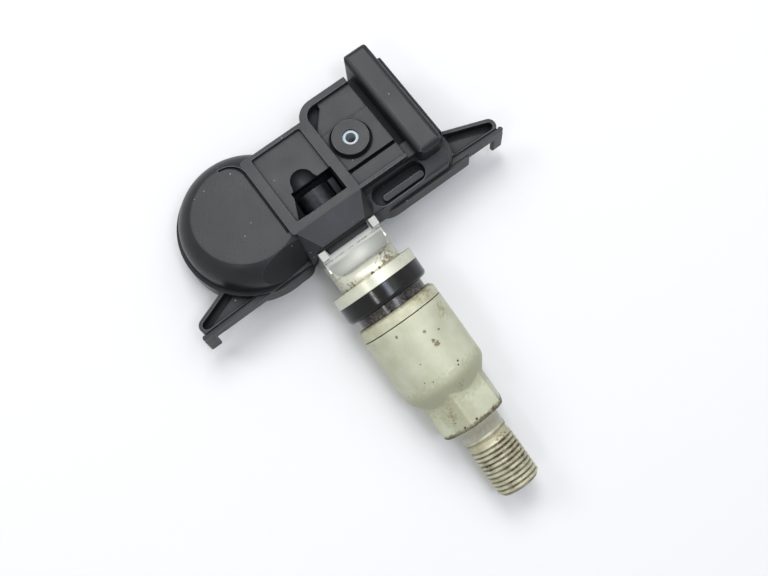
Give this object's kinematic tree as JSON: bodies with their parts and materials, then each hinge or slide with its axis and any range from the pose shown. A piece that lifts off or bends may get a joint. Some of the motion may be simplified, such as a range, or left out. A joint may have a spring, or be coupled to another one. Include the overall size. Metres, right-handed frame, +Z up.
{
  "type": "tyre pressure sensor",
  "caption": "Black moulded tyre pressure sensor with slotted side arms, leaning back from an aluminium clamp-in valve with rubber grommet, washer, sleeve nut and cap thread.",
  "frame": {"origin": "on the valve axis, at the face of the collar that the rubber grommet seats on", "axes": "-Y along the valve towards its tip, +Z up out of the side that the label face looks to, +X towards the pressure port and the coil bar; the body leans back from the valve axis by 16.5 degrees"},
  "size_m": [0.0601, 0.0733, 0.0181],
  "materials": {
    "black_plastic": "satin moulded surface with a fine grain",
    "resin": "poured and set, slightly glossy",
    "board": "solder mask",
    "chip_black": "moulded chip package",
    "steel": "plain nickel-plated steel",
    "dark_steel": "blackened screw",
    "gilt": "thin gilding",
    "brass": "turned",
    "port_silicone": "soft translucent white",
    "aluminium": "matte, aged, with brown specks",
    "rubber": "black, slightly glossy",
    "seal_red": "seal compound",
    "ceramic": "fired",
    "ferrite": "sintered",
    "copper": "lacquered copper wire"
  },
  "bodies": {
    "sensor": {"housing": "black_plastic", "potting_resin": "resin", "circuit_board": "board", "battery_cell": "steel", "battery_tab_positive": "steel", "battery_tab_negative": "steel", "sensor_chip": "chip_black", "chip_lid": "gilt", "port_sleeve": "port_silicone", "controller_chip": "chip_black", "crystal": "steel", "passives": "ceramic", "coil_core": "ferrite", "coil_winding": "copper", "antenna_loop": "brass", "sensor_screw": "dark_steel", "valve_stem": "aluminium", "grommet": "rubber", "core_body": "brass", "core_gasket": "seal_red", "core_spring": "steel"},
    "washer": {"nut_washer": "aluminium"},
    "nut": {"hex_nut": "aluminium"},
    "pin": {"core_pin": "brass", "core_seal": "rubber"}
  },
  "joints": [
    {"name": "nut_travel", "type": "slide", "parent": "sensor", "child": "washer", "axis": [0, -1, 0], "range_m": [0, 0.00636]},
    {"name": "nut_turn", "type": "hinge", "parent": "washer", "child": "nut", "pos_m": [0, -0.0068, 0], "axis": [0, -1, 0], "range_deg": [0, 2880]},
    {"name": "core_pin", "type": "slide", "parent": "sensor", "child": "pin", "axis": [0, 1, 0], "range_m": [0, 0.0012], "stiffness_N_per_m": 3000, "deforming": ["core_spring"]}
  ],
  "couplings": [
    {"joint": "nut_travel", "follows": "nut_turn", "m_per_rad": 0.00012637}
  ]
}
